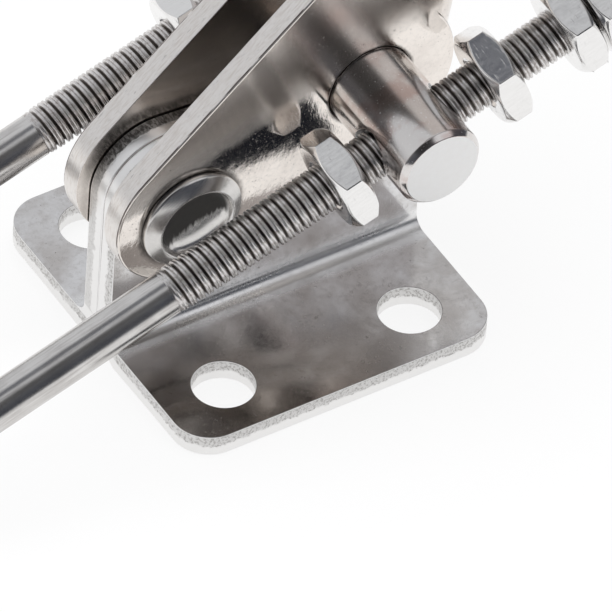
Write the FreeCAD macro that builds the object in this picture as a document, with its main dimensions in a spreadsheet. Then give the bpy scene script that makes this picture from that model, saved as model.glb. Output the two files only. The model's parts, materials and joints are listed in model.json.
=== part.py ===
import FreeCAD, Part
import Sketcher
import os

# Pull-action latch clamp with a flanged base: two bent plates stand back to back as the base,
# a folded channel handle turns on a rivet through them, and the handle carries a round trunnion
# whose two cross holes hold the threaded legs of a U-bolt.
# Frame: X runs back from the hook, Y across, Z up from the mounting face; the origin is the
# middle of the hole pattern on the mounting face. Lengths are in millimetres, angles in degrees.

driving_sizes = {
    # base plates
    "base_length": 35.7,
    "base_width": 37.8,
    "plate_thickness": 2.5,
    "plate_bend": 1.5,
    "flange_corner": 4.0,
    "hole_diameter": 6.5,
    "hole_end_margin": 7.05,
    "hole_side_margin": 6.2,
    "nose_radius": 6.85,
    "pivot_height": 19.5,
    "shoulder_angle": 4.5,
    "shoulder_corner": 3.0,
    # pivot
    "shank_diameter": 6.0,
    "bushing_diameter": 8.0,
    "head_diameter": 11.2,
    "head_height": 1.5,
    "head_side": 0.55,
    "head_rim": 0.15,
    "mouth_diameter": 8.3,
    "mouth_floor_diameter": 7.5,
    "mouth_depth": 1.3,
    "rivet_bore": 4.4,
    "rivet_bore_depth": 3.2,
    # handle
    "cheek_thickness": 2.4,
    "cheek_bend": 0.9,
    "cheek_play": 0.3,
    "ear_radius": 8.4,
    "ear_lift": 0.5,
    "lobe_radius": 9.8,
    "handle_angle": 42.3,
    "back_angle": 82.0,
    "waist_radius": 26.0,
    "grip_depth": 13.5,
    "handle_reach": 94.0,
    "tip_corner": 7.0,
    # trunnion
    "trunnion_reach": 20.3,
    "trunnion_rise": 8.65,
    "trunnion_diameter": 9.2,
    "trunnion_length": 37.6,
    "end_chamfer": 0.6,
    "end_chamfer_drop": 0.5,
    # U-bolt
    "leg_spacing": 25.2,
    "rod_diameter": 4.6,
    "thread_diameter": 4.9,
    "thread_ahead": 29.1,
    "tail_length": 26.0,
    "thread_chamfer": 0.5,
    "hook_reach": 79.2,
    "hook_corner": 9.5,
    # nuts
    "nut_flats": 9.5,
    "nut_thickness": 3.2,
    "nut_bore": 5.0,
    "nut_edge": 0.35,
    "nut_crown": 38.0,
    "nut_crown_inset": 0.2,
    "front_gap_right": 2.2,
    "front_gap_left": 4.35,
    "back_gap": 3.85,
    "lock_gap": 12.95,
    "end_gap": 0.4,
    # fits
    "running_gap": 0.05,
    "press_gap": 0.02,
    "cross_hole_gap": 0.35,
    "stop_gap": 0.15,
}

right, left = -1, 1

# Places and directions worked out from the driving sizes, as expressions on the sheet.
pivot_x = "(Sizes.nose_radius - Sizes.base_length / 2)"
pivot_z = "Sizes.pivot_height"
trunnion_x = f"({pivot_x} + Sizes.trunnion_reach)"
trunnion_z = "(Sizes.pivot_height + Sizes.trunnion_rise)"
fold_radius = "(Sizes.plate_thickness + Sizes.plate_bend)"
channel_width = "(2 * Sizes.plate_thickness + 2 * Sizes.cheek_play)"
handle_width = f"({channel_width} + 2 * Sizes.cheek_thickness)"
leg_slope = f"asin(({trunnion_z} - Sizes.rod_diameter / 2) / Sizes.hook_reach)"
nut_corner_radius = "(Sizes.nut_flats / 2 / cos(30))"

# The middle of each nut along its leg, measured from the trunnion's axis.
ahead = "(-Sizes.trunnion_diameter / 2 - Sizes.nut_thickness / 2 - {})"
behind = "(Sizes.trunnion_diameter / 2 + Sizes.nut_thickness / 2 + {})"
back_place = behind.format("Sizes.back_gap")
lock_place = behind.format("Sizes.lock_gap")
end_place = behind.format("Sizes.lock_gap + Sizes.nut_thickness + Sizes.end_gap")

# Leg, place on it, and the angle the flats happen to stand at.
nuts = {
    "front_nut_right": (right, ahead.format("Sizes.front_gap_right"), 22.5),
    "back_nut_right": (right, back_place, 19.0),
    "lock_nut_right": (right, lock_place, 22.5),
    "end_nut_right": (right, end_place, 27.5),
    "front_nut_left": (left, ahead.format("Sizes.front_gap_left"), 48.0),
    "back_nut_left": (left, back_place, 24.0),
    "lock_nut_left": (left, lock_place, 5.0),
    "end_nut_left": (left, end_place, 17.0),
}

doc = FreeCAD.newDocument("LatchClamp")


def fill_sheet():
    sheet = doc.addObject("Spreadsheet::Sheet", "Sizes")
    for row, (name, value) in enumerate(driving_sizes.items(), start=1):
        sheet.set(f"A{row}", name)
        sheet.set(f"B{row}", str(value))
        sheet.setAlias(f"B{row}", name)
    doc.recompute()
    return sheet


sizes = fill_sheet()


def number(expression):
    result = sizes.evalExpression(expression.replace("Sizes.", ""))
    return float(getattr(result, "Value", result))


def new_body(label):
    body = doc.addObject("PartDesign::Body", label)
    body.Label = label
    return body


def new_sketch(body, name, role, offset=None):
    sketch = body.newObject("Sketcher::SketchObject", name)
    plane = next(item for item in body.Origin.OriginFeatures if item.Role == role)
    sketch.AttachmentSupport = [(plane, "")]
    sketch.MapMode = "FlatFace"
    if offset is not None:
        sketch.setExpression("AttachmentOffset.Base.z", offset)
    return sketch


def fix_point(sketch, geometry, point, across, along):
    for kind, expression in (("DistanceX", across), ("DistanceY", along)):
        rule = Sketcher.Constraint(kind, -1, 1, geometry, point, number(expression))
        index = sketch.addConstraint(rule)
        sketch.setExpression(f"Constraints[{index}]", expression)


def draw_polygon(sketch, corners):
    points = [FreeCAD.Vector(number(across), number(along), 0) for across, along in corners]
    lines = []
    for start, end in zip(points, points[1:] + points[:1]):
        lines.append(sketch.addGeometry(Part.LineSegment(start, end), False))
    for line, following in zip(lines, lines[1:] + lines[:1]):
        sketch.addConstraint(Sketcher.Constraint("Coincident", line, 2, following, 1))
    for line, (across, along) in zip(lines, corners):
        fix_point(sketch, line, 1, across, along)


def draw_circle(sketch, across, along, diameter):
    centre = FreeCAD.Vector(number(across), number(along), 0)
    shape = Part.Circle(centre, FreeCAD.Vector(0, 0, 1), number(diameter) / 2)
    circle = sketch.addGeometry(shape, False)
    fix_point(sketch, circle, 3, across, along)
    index = sketch.addConstraint(Sketcher.Constraint("Diameter", circle, number(diameter)))
    sketch.setExpression(f"Constraints[{index}]", diameter)


def add_pad(body, sketch, length, reverse=False, symmetric=False):
    pad = body.newObject("PartDesign::Pad", sketch.Name + "Pad")
    pad.Profile = sketch
    pad.Reversed = reverse
    pad.SideType = "Symmetric" if symmetric else "One side"
    pad.setExpression("Length", length)
    pad.Refine = True
    doc.recompute()
    return pad


def cut_through(body, sketch):
    pocket = body.newObject("PartDesign::Pocket", sketch.Name + "Pocket")
    pocket.Profile = sketch
    pocket.SideType = "Symmetric"
    pocket.Type = "ThroughAll"
    pocket.Refine = True
    doc.recompute()
    return pocket


def cut_width(body, sketch, width):
    pocket = body.newObject("PartDesign::Pocket", sketch.Name + "Pocket")
    pocket.Profile = sketch
    pocket.SideType = "Symmetric"
    pocket.Type = "Length"
    pocket.setExpression("Length", width)
    pocket.Refine = True
    doc.recompute()
    return pocket


def dress_edges(body, kind, name, base, chosen, size, radius):
    names = [f"Edge{index}" for index, edge in enumerate(base.Shape.Edges, start=1) if chosen(edge)]
    if not names:
        raise ValueError(f"{name} found no edge on {base.Name}")
    dressing = body.newObject("PartDesign::" + kind, name)
    dressing.Base = (base, names)
    dressing.setExpression(size, radius)
    doc.recompute()
    return dressing


def round_edges(body, name, base, chosen, radius):
    return dress_edges(body, "Fillet", name, base, chosen, "Radius", radius)


def bevel_edges(body, name, base, chosen, size):
    return dress_edges(body, "Chamfer", name, base, chosen, "Size", size)


def runs_along(edge, direction):
    if edge.Curve.TypeId != "Part::GeomLine":
        return False
    return abs(abs(edge.Curve.Direction.dot(FreeCAD.Vector(*direction))) - 1) < 1e-6


def is_near(value, target):
    return abs(value - target) < 1e-3


def passes(edge, **coordinates):
    """True where both ends of the edge have the given coordinates."""
    return all(
        is_near(getattr(vertex.Point, axis), value)
        for vertex in edge.Vertexes
        for axis, value in coordinates.items()
    )


def build_base_plate(label, side):
    body = new_body(label)
    thickness = f"({side} * Sizes.plate_thickness)"
    half_width = f"({side} * Sizes.base_width / 2)"
    half_length = "(Sizes.base_length / 2)"

    profile = new_sketch(body, label + "Profile", "YZ_Plane")
    draw_polygon(profile, [
        ("0", "0"),
        (half_width, "0"),
        (half_width, "Sizes.plate_thickness"),
        (thickness, "Sizes.plate_thickness"),
        (thickness, pivot_z),
        ("0", pivot_z),
    ])
    bent = add_pad(body, profile, "Sizes.base_length", symmetric=True)

    inner_side = side * number("Sizes.plate_thickness")
    inner = round_edges(
        body, label + "InnerBend", bent,
        lambda edge: runs_along(edge, (1, 0, 0)) and passes(edge, y=inner_side, z=abs(inner_side)),
        "Sizes.plate_bend",
    )
    outer = round_edges(
        body, label + "OuterBend", inner,
        lambda edge: runs_along(edge, (1, 0, 0)) and passes(edge, y=0, z=0),
        fold_radius,
    )
    rim = side * number("Sizes.base_width / 2")
    round_edges(
        body, label + "Corners", outer,
        lambda edge: runs_along(edge, (0, 0, 1)) and passes(edge, y=rim),
        "Sizes.flange_corner",
    )

    wall = new_sketch(body, label + "Wall", "XZ_Plane")
    shoulder_drop = (
        f"(({half_length} - {pivot_x} - Sizes.nose_radius * sin(Sizes.shoulder_angle))"
        " * tan(Sizes.shoulder_angle))"
    )
    crest_z = f"({pivot_z} + Sizes.nose_radius * cos(Sizes.shoulder_angle))"
    draw_polygon(wall, [
        (f"-{half_length}", pivot_z),
        (f"{pivot_x} + Sizes.nose_radius * sin(Sizes.shoulder_angle)", crest_z),
        (half_length, f"{crest_z} - {shoulder_drop}"),
        (half_length, pivot_z),
    ])
    wall_pad = add_pad(body, wall, "Sizes.plate_thickness", reverse=side == left)

    nose = new_sketch(body, label + "Nose", "XZ_Plane")
    draw_circle(nose, pivot_x, pivot_z, "2 * Sizes.nose_radius")
    nose_pad = add_pad(body, nose, "Sizes.plate_thickness", reverse=side == left)

    top = number(f"{crest_z} - {shoulder_drop}")
    back = number(half_length)
    round_edges(
        body, label + "Shoulder", nose_pad,
        lambda edge: runs_along(edge, (0, 1, 0)) and passes(edge, x=back, z=top),
        "Sizes.shoulder_corner",
    )

    saddle = new_sketch(body, label + "Saddle", "XZ_Plane")
    draw_circle(saddle, trunnion_x, trunnion_z, "Sizes.trunnion_diameter + 2 * Sizes.stop_gap")
    cut_through(body, saddle)

    bore = new_sketch(body, label + "Bore", "XZ_Plane")
    draw_circle(bore, pivot_x, pivot_z, "Sizes.bushing_diameter + 2 * Sizes.running_gap")
    cut_through(body, bore)

    holes = new_sketch(body, label + "Holes", "XY_Plane")
    for end in (-1, 1):
        draw_circle(
            holes,
            f"{end} * ({half_length} - Sizes.hole_end_margin)",
            f"{half_width} - {side} * Sizes.hole_side_margin",
            "Sizes.hole_diameter",
        )
    cut_through(body, holes)
    return body


def build_rivet():
    """Turned about Y: a shank bored at both ends, with a bevelled, hollow-mouthed head there."""
    body = new_body("pivot_rivet")
    seat = f"({handle_width} / 2 + Sizes.press_gap)"
    top = f"({seat} + Sizes.head_height)"
    mouth_floor = f"({top} - Sizes.mouth_depth)"
    bore_floor = f"({top} - Sizes.rivet_bore_depth)"
    profile = new_sketch(body, "RivetProfile", "XY_Plane")
    draw_polygon(profile, [
        ("0", bore_floor),
        ("Sizes.rivet_bore / 2", bore_floor),
        ("Sizes.rivet_bore / 2", mouth_floor),
        ("Sizes.mouth_floor_diameter / 2", mouth_floor),
        ("Sizes.mouth_diameter / 2", top),
        ("Sizes.mouth_diameter / 2 + Sizes.head_rim", top),
        ("Sizes.head_diameter / 2", f"{seat} + Sizes.head_side"),
        ("Sizes.head_diameter / 2", seat),
        ("Sizes.shank_diameter / 2", seat),
        ("Sizes.shank_diameter / 2", "0"),
        ("0", "0"),
    ])
    turned = body.newObject("PartDesign::Revolution", "RivetHalf")
    turned.Profile = profile
    turned.ReferenceAxis = (profile, ["V_Axis"])
    turned.Angle = 360
    doc.recompute()

    mirror = body.newObject("PartDesign::Mirrored", "RivetWhole")
    mirror.Originals = [turned]
    mirror.MirrorPlane = (profile, ["H_Axis"])
    body.Tip = mirror
    place(body, pivot_x, pivot_z)
    return body


def build_bushing():
    body = new_body("pivot_bushing")
    ring = new_sketch(body, "BushingRing", "XZ_Plane")
    draw_circle(ring, "0", "0", "Sizes.bushing_diameter")
    draw_circle(ring, "0", "0", "Sizes.shank_diameter + 2 * Sizes.press_gap")
    add_pad(body, ring, channel_width, symmetric=True)
    place(body, pivot_x, pivot_z)
    return body


def place(body, across, height, tilt=None):
    body.setExpression("Placement.Base.x", across)
    body.setExpression("Placement.Base.z", height)
    if tilt is not None:
        body.Placement.Rotation = FreeCAD.Rotation(FreeCAD.Vector(0, -1, 0), number(tilt))
        body.setExpression("Placement.Rotation.Angle", tilt)
    doc.recompute()


def stepped(start, *steps):
    """The place reached from start by steps, each a distance and a direction's angle."""
    across, height = start
    for distance, angle in steps:
        across = f"{across} + {distance} * cos({angle})"
        height = f"{height} + {distance} * sin({angle})"
    return across, height


def build_handle():
    body = new_body("handle")
    along = "Sizes.handle_angle"
    back = "Sizes.back_angle"
    ear = (pivot_x, f"({pivot_z} + Sizes.ear_lift)")
    trunnion = (trunnion_x, trunnion_z)
    rise = "(Sizes.trunnion_rise - Sizes.ear_lift)"
    rise_angle = f"atan({rise} / Sizes.trunnion_reach)"
    centres = f"sqrt(Sizes.trunnion_reach ^ 2 + {rise} ^ 2)"
    under = f"({rise_angle} - 90 deg - asin((Sizes.lobe_radius - Sizes.ear_radius) / {centres}))"
    past_ear = "(Sizes.grip_depth - Sizes.ear_radius)"
    waist_run = (
        f"((Sizes.trunnion_reach * sin({along}) - {rise} * cos({along}) - {past_ear}"
        f" + Sizes.lobe_radius * cos({back} - {along})) / sin({back} - {along}))"
    )
    ear_front = stepped(ear, ("Sizes.ear_radius", f"({along} + 90)"))
    ear_under = stepped(ear, ("Sizes.ear_radius", under))
    lobe_under = stepped(trunnion, ("Sizes.lobe_radius", under))
    lobe_back = stepped(trunnion, ("Sizes.lobe_radius", f"({back} - 90)"))
    waist = stepped(lobe_back, (waist_run, back))
    tip_front = stepped(ear_front, ("Sizes.handle_reach", along))
    tip_back = stepped(tip_front, ("Sizes.grip_depth", f"({along} - 90)"))

    side_view = new_sketch(body, "HandleSide", "XZ_Plane")
    draw_polygon(side_view, [ear_front, tip_front, tip_back, waist, lobe_back, lobe_under, ear_under])
    blank = add_pad(body, side_view, handle_width, symmetric=True)

    def at(edge, spot):
        return runs_along(edge, (0, 1, 0)) and passes(edge, x=number(spot[0]), z=number(spot[1]))

    waisted = round_edges(body, "Waist", blank, lambda edge: at(edge, waist), "Sizes.waist_radius")
    tipped = round_edges(body, "TipCorner", waisted, lambda edge: at(edge, tip_front), "Sizes.tip_corner")

    half = number(f"{handle_width} / 2")
    straight_back = FreeCAD.Vector(number(f"cos({back})"), 0, number(f"sin({back})"))
    bent = round_edges(
        body, "BackBends", tipped,
        lambda edge: runs_along(edge, straight_back) and is_near(abs(edge.Vertexes[0].Point.y), half),
        "Sizes.cheek_bend + Sizes.cheek_thickness",
    )

    for name, (across, height) in (("ear", ear), ("lobe", trunnion)):
        disc = new_sketch(body, "Handle" + name.title(), "XZ_Plane")
        draw_circle(disc, across, height, f"2 * Sizes.{name}_radius")
        add_pad(body, disc, handle_width, symmetric=True)

    inward = "Sizes.cheek_thickness"
    clear = "(2 * Sizes.lobe_radius + Sizes.handle_reach)"
    web_foot = stepped(lobe_back, (inward, f"({back} + 90)"))
    web_waist = stepped(waist, (f"{inward} / cos(({back} - {along}) / 2)", f"(({back} + {along}) / 2 + 90)"))
    web_tip = stepped(tip_back, (inward, f"({along} + 90)"), (clear, along))
    channel = new_sketch(body, "HandleChannel", "XZ_Plane")
    draw_polygon(channel, [
        web_foot,
        web_waist,
        web_tip,
        stepped(web_tip, (clear, f"({along} + 90)")),
        stepped(ear, (clear, f"({along} + 90)"), (clear, f"({along} + 180)")),
        stepped(ear, (clear, f"({back} + 180)"), (clear, f"({along} + 180)")),
        stepped(web_foot, (clear, f"({back} + 180)")),
        stepped(web_foot, (clear, f"({back} + 180)"), (clear, f"({back} - 90)")),
        stepped(web_foot, (clear, f"({back} - 90)")),
    ])
    hollow = cut_width(body, channel, channel_width)
    hollow_waisted = round_edges(
        body, "ChannelWaist", hollow, lambda edge: at(edge, web_waist),
        "Sizes.waist_radius + Sizes.cheek_thickness",
    )
    inner_half = number(f"{channel_width} / 2")
    foot = FreeCAD.Vector(number(web_foot[0]), 0, number(web_foot[1]))

    def meets_web(edge):
        start = edge.Vertexes[0].Point
        level = FreeCAD.Vector(start.x - foot.x, 0, start.z - foot.z)
        on_web = abs(level.cross(straight_back).Length) < 1e-3
        return runs_along(edge, straight_back) and on_web and is_near(abs(start.y), inner_half)

    round_edges(body, "InnerBends", hollow_waisted, meets_web, "Sizes.cheek_bend")

    holes = new_sketch(body, "HandleHoles", "XZ_Plane")
    draw_circle(holes, pivot_x, pivot_z, "Sizes.shank_diameter + 2 * Sizes.press_gap")
    draw_circle(holes, trunnion_x, trunnion_z, "Sizes.trunnion_diameter + 2 * Sizes.running_gap")
    cut_through(body, holes)
    return body


def build_trunnion():
    body = new_body("trunnion")
    bar = new_sketch(body, "TrunnionBar", "XZ_Plane")
    draw_circle(bar, "0", "0", "Sizes.trunnion_diameter")
    turned = add_pad(body, bar, "Sizes.trunnion_length", symmetric=True)
    ends = bevel_edges(
        body, "TrunnionEnds", turned,
        lambda edge: edge.Curve.TypeId == "Part::GeomCircle",
        "Sizes.end_chamfer",
    )
    ends.ChamferType = "Two distances"
    ends.setExpression("Size2", "Sizes.end_chamfer_drop")

    cross = new_sketch(body, "TrunnionCross", "YZ_Plane")
    for side in (right, left):
        draw_circle(
            cross, f"{side} * Sizes.leg_spacing / 2", "0",
            "Sizes.thread_diameter + 2 * Sizes.cross_hole_gap",
        )
    cut_through(body, cross)
    place(body, trunnion_x, trunnion_z, leg_slope)
    return body


def build_u_bolt():
    body = new_body("u_bolt")
    half = "Sizes.leg_spacing / 2"
    hook, corner, ahead = (number("Sizes." + name) for name in ("hook_reach", "hook_corner", "thread_ahead"))
    width = number(half)

    route = new_sketch(body, "BoltRoute", "XY_Plane")
    lay = FreeCAD.Vector
    corner_start = -hook + corner
    tangent_arcs = []
    for side in (right, left):
        centre = lay(corner_start, side * (width - corner), 0)
        outer = lay(corner_start, side * width, 0)
        middle = centre + lay(-1, side, 0).normalize() * corner
        end = lay(-hook, side * (width - corner), 0)
        tangent_arcs.append((outer, Part.Arc(outer, middle, end), end))
    (right_out, right_arc, right_in), (left_out, left_arc, left_in) = tangent_arcs
    leg_right = route.addGeometry(Part.LineSegment(lay(-ahead, -width, 0), right_out), False)
    bend_right = route.addGeometry(right_arc, False)
    bridge = route.addGeometry(Part.LineSegment(right_in, left_in), False)
    bend_left = route.addGeometry(left_arc, False)
    leg_left = route.addGeometry(Part.LineSegment(left_out, lay(-ahead, width, 0)), False)
    join_tangent(route, leg_right, 2, bend_right)
    join_tangent(route, bridge, 1, bend_right)
    join_tangent(route, bridge, 2, bend_left)
    join_tangent(route, leg_left, 1, bend_left)
    fix_point(route, leg_right, 1, "-Sizes.thread_ahead", f"-{half}")
    fix_point(route, leg_left, 2, "-Sizes.thread_ahead", half)
    route.addConstraint(Sketcher.Constraint("Vertical", bridge))
    for bend in (bend_right, bend_left):
        index = route.addConstraint(Sketcher.Constraint("Radius", bend, corner))
        route.setExpression(f"Constraints[{index}]", "Sizes.hook_corner")
    reach = Sketcher.Constraint("DistanceX", -1, 1, bridge, 1, -hook)
    index = route.addConstraint(reach)
    route.setExpression(f"Constraints[{index}]", "-Sizes.hook_reach")

    section = new_sketch(body, "BoltSection", "YZ_Plane", "-Sizes.thread_ahead")
    draw_circle(section, f"-{half}", "0", "Sizes.rod_diameter")
    doc.recompute()
    rod = body.newObject("PartDesign::AdditivePipe", "BoltRod")
    rod.Profile = section
    rod.Spine = (route, [f"Edge{index + 1}" for index in range(len(route.Shape.Edges))])
    rod.Transition = "Transformed"
    doc.recompute()

    threads = new_sketch(body, "BoltThreads", "YZ_Plane", "-Sizes.thread_ahead")
    for side in (right, left):
        draw_circle(threads, f"{side} * {half}", "0", "Sizes.thread_diameter")
    threaded = add_pad(body, threads, "Sizes.thread_ahead + Sizes.tail_length")
    tail = number("Sizes.tail_length")
    bevel_edges(
        body, "TailChamfers", threaded,
        lambda edge: edge.Curve.TypeId == "Part::GeomCircle" and passes(edge, x=tail),
        "Sizes.thread_chamfer",
    )
    place(body, trunnion_x, trunnion_z, leg_slope)
    return body


def join_tangent(sketch, line, line_end, arc):
    """Join one end of the line to the arc's end that lies on it, tangent there."""
    spot = sketch.getPoint(line, line_end)
    arc_end = min((1, 2), key=lambda end: sketch.getPoint(arc, end).distanceToPoint(spot))
    sketch.addConstraint(Sketcher.Constraint("Tangent", line, line_end, arc, arc_end))


def build_nut(label, side, distance, spin):
    body = new_body(label)
    outline = new_sketch(body, label + "Outline", "YZ_Plane")
    draw_polygon(outline, [
        (f"{nut_corner_radius} * cos({spin + turn})", f"{nut_corner_radius} * sin({spin + turn})")
        for turn in range(0, 360, 60)
    ])
    blank = add_pad(body, outline, "Sizes.nut_thickness", symmetric=True)

    crown_start = "(Sizes.nut_flats / 2 - Sizes.nut_crown_inset)"
    past = f"({nut_corner_radius} + Sizes.nut_edge)"
    face = "(Sizes.nut_thickness / 2)"
    slant = f"(({past} - {crown_start}) * tan(Sizes.nut_crown))"
    crown = new_sketch(body, label + "Crown", "XZ_Plane")
    for end in (-1, 1):
        draw_polygon(crown, [
            (f"{end} * {face}", crown_start),
            (f"{end} * {face}", past),
            (f"{end} * ({face} - {slant})", past),
        ])
    groove = body.newObject("PartDesign::Groove", label + "Corners")
    groove.Profile = crown
    groove.ReferenceAxis = (crown, ["H_Axis"])
    groove.Angle = 360
    doc.recompute()
    if groove.Shape.Volume >= blank.Shape.Volume:
        raise ValueError(f"{label}: the corner chamfers cut nothing")

    bore = new_sketch(body, label + "Bore", "YZ_Plane")
    draw_circle(bore, "0", "0", "Sizes.nut_bore")
    bored = cut_through(body, bore)
    radius = number("Sizes.nut_bore / 2")
    bevel_edges(
        body, label + "Edges", bored,
        lambda edge: edge.Curve.TypeId == "Part::GeomCircle" and is_near(edge.Curve.Radius, radius),
        "Sizes.nut_edge",
    )
    place(
        body,
        f"{trunnion_x} + {distance} * cos({leg_slope})",
        f"{trunnion_z} + {distance} * sin({leg_slope})",
        leg_slope,
    )
    body.setExpression("Placement.Base.y", f"{side} * Sizes.leg_spacing / 2")
    doc.recompute()
    return body


def check_document():
    doc.recompute()
    for item in doc.Objects:
        if "Invalid" in item.State or "Error" in item.State:
            raise ValueError(f"{item.Label} failed: {item.State}")


def write_parts(parts):
    os.makedirs("parts", exist_ok=True)
    for part in parts:
        shape = part.Shape
        if shape.isNull() or not shape.isValid() or len(shape.Solids) != 1:
            raise ValueError(f"{part.Label} isn't one sound solid")
        shape.exportStep(f"parts/{part.Label}.step")
        box = shape.BoundBox
        print(
            f"{part.Label}: {shape.Volume:.1f} mm3, X {box.XMin:.2f} to {box.XMax:.2f},"
            f" Y {box.YMin:.2f} to {box.YMax:.2f}, Z {box.ZMin:.2f} to {box.ZMax:.2f}"
        )


parts = [
    build_base_plate("base_plate_right", right),
    build_base_plate("base_plate_left", left),
    build_rivet(),
    build_bushing(),
    build_handle(),
    build_trunnion(),
    build_u_bolt(),
]
for label, (side, distance, spin) in nuts.items():
    parts.append(build_nut(label, side, distance, spin))

check_document()
write_parts(parts)
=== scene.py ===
import json
import math

import bmesh
import bpy
from mathutils import Matrix, Vector


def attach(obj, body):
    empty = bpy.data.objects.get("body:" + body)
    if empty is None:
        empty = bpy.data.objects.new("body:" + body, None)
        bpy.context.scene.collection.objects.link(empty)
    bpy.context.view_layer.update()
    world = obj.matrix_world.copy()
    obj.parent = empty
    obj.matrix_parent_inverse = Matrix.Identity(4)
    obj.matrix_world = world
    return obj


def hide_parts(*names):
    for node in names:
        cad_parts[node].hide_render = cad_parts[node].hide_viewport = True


# Pull-action latch clamp in polished stainless steel. Lengths are in metres; mm turns
# millimetres into them. X runs back from the hook, Y across, Z up from the mounting face.

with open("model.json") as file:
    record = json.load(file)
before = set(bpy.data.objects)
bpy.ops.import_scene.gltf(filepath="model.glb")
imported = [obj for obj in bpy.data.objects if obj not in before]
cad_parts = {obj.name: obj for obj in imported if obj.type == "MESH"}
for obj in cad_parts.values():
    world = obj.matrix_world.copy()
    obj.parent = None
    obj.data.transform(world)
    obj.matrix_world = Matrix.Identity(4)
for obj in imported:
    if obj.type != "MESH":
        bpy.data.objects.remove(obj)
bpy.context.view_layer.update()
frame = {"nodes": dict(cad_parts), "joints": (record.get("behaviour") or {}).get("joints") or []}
nodes = frame["nodes"]
joints = {joint["name"]: joint for joint in frame["joints"]}
mm = 0.001

pivot = Vector(joints["handle_pivot"]["pos_m"])
trunnionMiddle = Vector(joints["trunnion_swing"]["pos_m"])
legDirection = Vector(joints["u_bolt_slide"]["axis"]).normalized()
legSlope = math.asin(legDirection.z)
# the U-bolt's own frame: X along its legs, Y across, origin on the trunnion's axis
boltFrame = Matrix.Translation(trunnionMiddle) @ Matrix.Rotation(-legSlope, 4, "Y")


# Shader sockets

class Wire:
    # wraps one output socket, so that shader maths can be written as Python expressions
    def __init__(self, tree, socket=None):
        self.tree = tree
        self.socket = socket

    def node(self, kind, links=None, settings=None, stops=None, output=0):
        made = self.tree.nodes.new(kind)
        for name, value in (settings or {}).items():
            setattr(made, name, value)
        if stops:
            elements = made.color_ramp.elements
            for extra in range(len(elements), len(stops)):
                elements.new(1)
            for element, (place, shade) in zip(elements, stops):
                element.position = place
                element.color = shade if isinstance(shade, tuple) else (shade, shade, shade, 1)
        for name, value in (links or {}).items():
            if isinstance(value, Wire):
                self.tree.links.new(value.socket, made.inputs[name])
            else:
                made.inputs[name].default_value = value
        return Wire(self.tree, made.outputs[output])

    def math(self, operation, *values):
        return self.node("ShaderNodeMath", dict(enumerate(values)), {"operation": operation})

    def __add__(self, other):
        return self.math("ADD", self, other)

    def __sub__(self, other):
        return self.math("SUBTRACT", self, other)

    def __mul__(self, other):
        return self.math("MULTIPLY", self, other)

    def __truediv__(self, other):
        return self.math("DIVIDE", self, other)

    def __radd__(self, other):
        return self.math("ADD", other, self)

    def __rsub__(self, other):
        return self.math("SUBTRACT", other, self)

    def __rmul__(self, other):
        return self.math("MULTIPLY", other, self)

    def __abs__(self):
        return self.math("ABSOLUTE", self)

    def step(self, low, high):
        # 0 below low and 1 above high, eased between them
        return self.node(
            "ShaderNodeMapRange", {"Value": self, "From Min": low, "From Max": high},
            {"interpolation_type": "SMOOTHSTEP"},
        )

    def blend(self, first, second):
        # first where this is 0, second where it is 1
        return self.node(
            "ShaderNodeMix", {0: self, 6: first, 7: second}, {"data_type": "RGBA"}, output=2)

    def axis(self, name):
        return self.node("ShaderNodeSeparateXYZ", {"Vector": self}, output=name)

    def moved(self, scale=(1, 1, 1), turn=(0, 0, 0), shift=(0, 0, 0)):
        return self.node("ShaderNodeMapping", {
            "Vector": self, "Scale": scale, "Rotation": turn, "Location": shift,
        })

    def noise(self, scale, detail=2, roughness=0.5):
        return self.node("ShaderNodeTexNoise", {
            "Vector": self, "Scale": scale, "Detail": detail, "Roughness": roughness,
        })


def newMaterial(name, build, metallic=1.0):
    # build gets the place on the object in millimetres, and returns colour, roughness, height
    made = bpy.data.materials.new(name)
    made.use_nodes = True
    tree = made.node_tree
    shader = tree.nodes["Principled BSDF"]
    shader.inputs["Metallic"].default_value = metallic
    start = Wire(tree)
    place = start.node("ShaderNodeTexCoord", output="Object").moved(scale=(1000, 1000, 1000))
    colour, roughness, height = build(place)
    tree.links.new(colour.socket, shader.inputs["Base Color"])
    tree.links.new(roughness.socket, shader.inputs["Roughness"])
    bump = start.node("ShaderNodeBump", {"Height": height, "Strength": 1.0, "Distance": mm})
    tree.links.new(bump.socket, shader.inputs["Normal"])
    return made


def grey(level, warmth=0.0):
    return (level * (1 + warmth), level, level * (1 - warmth), 1)


# Finishes

plateThickness = 2.5    # mm
cheekInner, cheekThickness = 2.8, 2.4    # mm from the middle, and through the sheet
foldHeight = 4.0    # mm, where the flange's bend ends on the wall

# each amount says how strongly that sheet shows one kind of mark
# of these amounts, the ones for the rings round the turned pieces and for the patch on the flange
# are painted shade, and the one for the band along the fold is a painted highlight
baseSheet = {
    "light": (0.74, 0.735, 0.74, 1), "dark": (0.57, 0.545, 0.53, 1),
    "roughness": 0.08, "haze": 0.12, "waviness": 0.016, "grain": 0.0003, "pits": 0.7,
    "ringShadeStrength": 0.0, "fray": 0.001, "paintedFlangeShade": 0.8, "speckle": 0.36, "fold": 1.0, "matt": 0.0,
}
handleSheet = {
    "light": (0.87, 0.815, 0.765, 1), "dark": (0.765, 0.71, 0.665, 1),
    "roughness": 0.03, "haze": 0.03, "waviness": 0.02, "grain": 0.0008, "pits": 0.9,
    "ringShadeStrength": 0.85, "fray": 0.0105, "paintedFlangeShade": 0.0, "speckle": 0.14, "fold": 0.0, "matt": 0.16,
}
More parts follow.
